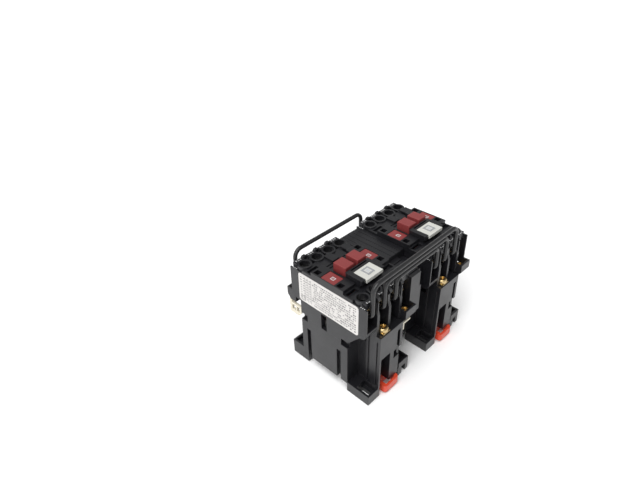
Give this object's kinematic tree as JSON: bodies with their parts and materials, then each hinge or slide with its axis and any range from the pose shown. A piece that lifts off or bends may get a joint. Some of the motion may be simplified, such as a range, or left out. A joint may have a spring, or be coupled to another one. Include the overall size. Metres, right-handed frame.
{
  "type": "reversing motor starter",
  "caption": "Two black contactors side by side with a mechanical interlock between them, joined by rigid jumper wires, on sprung rail feet.",
  "frame": {"origin": "on the mounting plane, midway between the two contactors", "axes": "+X along the row of contactors, -Y toward the load end with the rail latches, +Z away from the mounting plane"},
  "size_m": [0.112, 0.0794, 0.0985],
  "materials": {
    "black_plastic": "fine moulded texture, soft sheen",
    "red_plastic": "moulded, satin",
    "latch_plastic": "moulded, satin",
    "cream_plastic": "moulded, matte",
    "marker_white": "smooth moulded",
    "label": null,
    "brass": "plated, bright",
    "steel": "zinc plated",
    "core_steel": "laminated, ground faces",
    "copper": "enamelled copper",
    "rubber": "matte",
    "wire_black": "glossy insulation"
  },
  "bodies": {
    "housing": {"left_base_housing": "black_plastic", "left_upper_housing": "black_plastic", "left_front_cover": "black_plastic", "left_cover_plugs": "red_plastic", "left_marker_frame": "black_plastic", "left_marker_plate": "marker_white", "left_return_springs": "steel", "left_fixed_core": "core_steel", "left_core_cushion": "rubber", "left_coil_bobbin": "cream_plastic", "left_coil_winding": "copper", "left_coil_terminals": "brass", "left_line_coil_marker": "cream_plastic", "left_line_contacts": "brass", "left_load_contacts": "brass", "left_latch_spring": "steel", "right_base_housing": "black_plastic", "right_upper_housing": "black_plastic", "right_front_cover": "black_plastic", "right_cover_plugs": "red_plastic", "right_marker_frame": "black_plastic", "right_marker_plate": "marker_white", "right_return_springs": "steel", "right_fixed_core": "core_steel", "right_core_cushion": "rubber", "right_coil_bobbin": "cream_plastic", "right_coil_winding": "copper", "right_coil_terminals": "brass", "right_line_coil_marker": "cream_plastic", "right_line_contacts": "brass", "right_load_contacts": "brass", "right_latch_spring": "steel", "left_rating_label": "label", "left_load_coil_marker": "cream_plastic", "shading_rings": "copper", "terminal_clamps": "brass", "terminal_screws": "steel", "coil_terminal_screws": "brass", "interlock_housing": "black_plastic", "interlock_cover": "black_plastic", "interlock_pin": "steel", "load_jumper_outer": "wire_black", "load_jumper_middle": "wire_black", "load_jumper_inner": "wire_black", "line_jumper_tall": "wire_black", "line_jumper_middle": "wire_black", "line_jumper_low": "wire_black"},
    "left_carrier": {"left_contact_carrier": "red_plastic", "left_contact_bridges": "brass", "left_contact_springs": "steel", "left_armature": "core_steel", "left_armature_pin": "steel"},
    "left_latch": {"left_din_latch": "latch_plastic"},
    "right_carrier": {"right_contact_carrier": "red_plastic", "right_contact_bridges": "brass", "right_contact_springs": "steel", "right_armature": "core_steel", "right_armature_pin": "steel"},
    "right_latch": {"right_din_latch": "latch_plastic"},
    "rocker": {"interlock_rocker": "red_plastic"}
  },
  "joints": [
    {"name": "left_carrier_slide", "type": "slide", "parent": "housing", "child": "left_carrier", "axis": [0, 0, -1], "range_m": [0, 0.0045], "stiffness_N_per_m": 800, "springref_m": -0.004, "deforming": ["left_return_springs"]},
    {"name": "left_latch_slide", "type": "slide", "parent": "housing", "child": "left_latch", "axis": [0, -1, 0], "range_m": [0, 0.004], "stiffness_N_per_m": 400, "springref_m": -0.003, "deforming": ["left_latch_spring"]},
    {"name": "right_carrier_slide", "type": "slide", "parent": "housing", "child": "right_carrier", "axis": [0, 0, -1], "range_m": [0, 0.0045], "stiffness_N_per_m": 800, "springref_m": -0.004, "deforming": ["right_return_springs"]},
    {"name": "right_latch_slide", "type": "slide", "parent": "housing", "child": "right_latch", "axis": [0, -1, 0], "range_m": [0, 0.004], "stiffness_N_per_m": 400, "springref_m": -0.003, "deforming": ["right_latch_spring"]},
    {"name": "rocker_tilt", "type": "hinge", "parent": "housing", "child": "rocker", "pos_m": [0, 0.003, 0.05], "axis": [0, 1, 0], "range_deg": [-9, 9]}
  ]
}
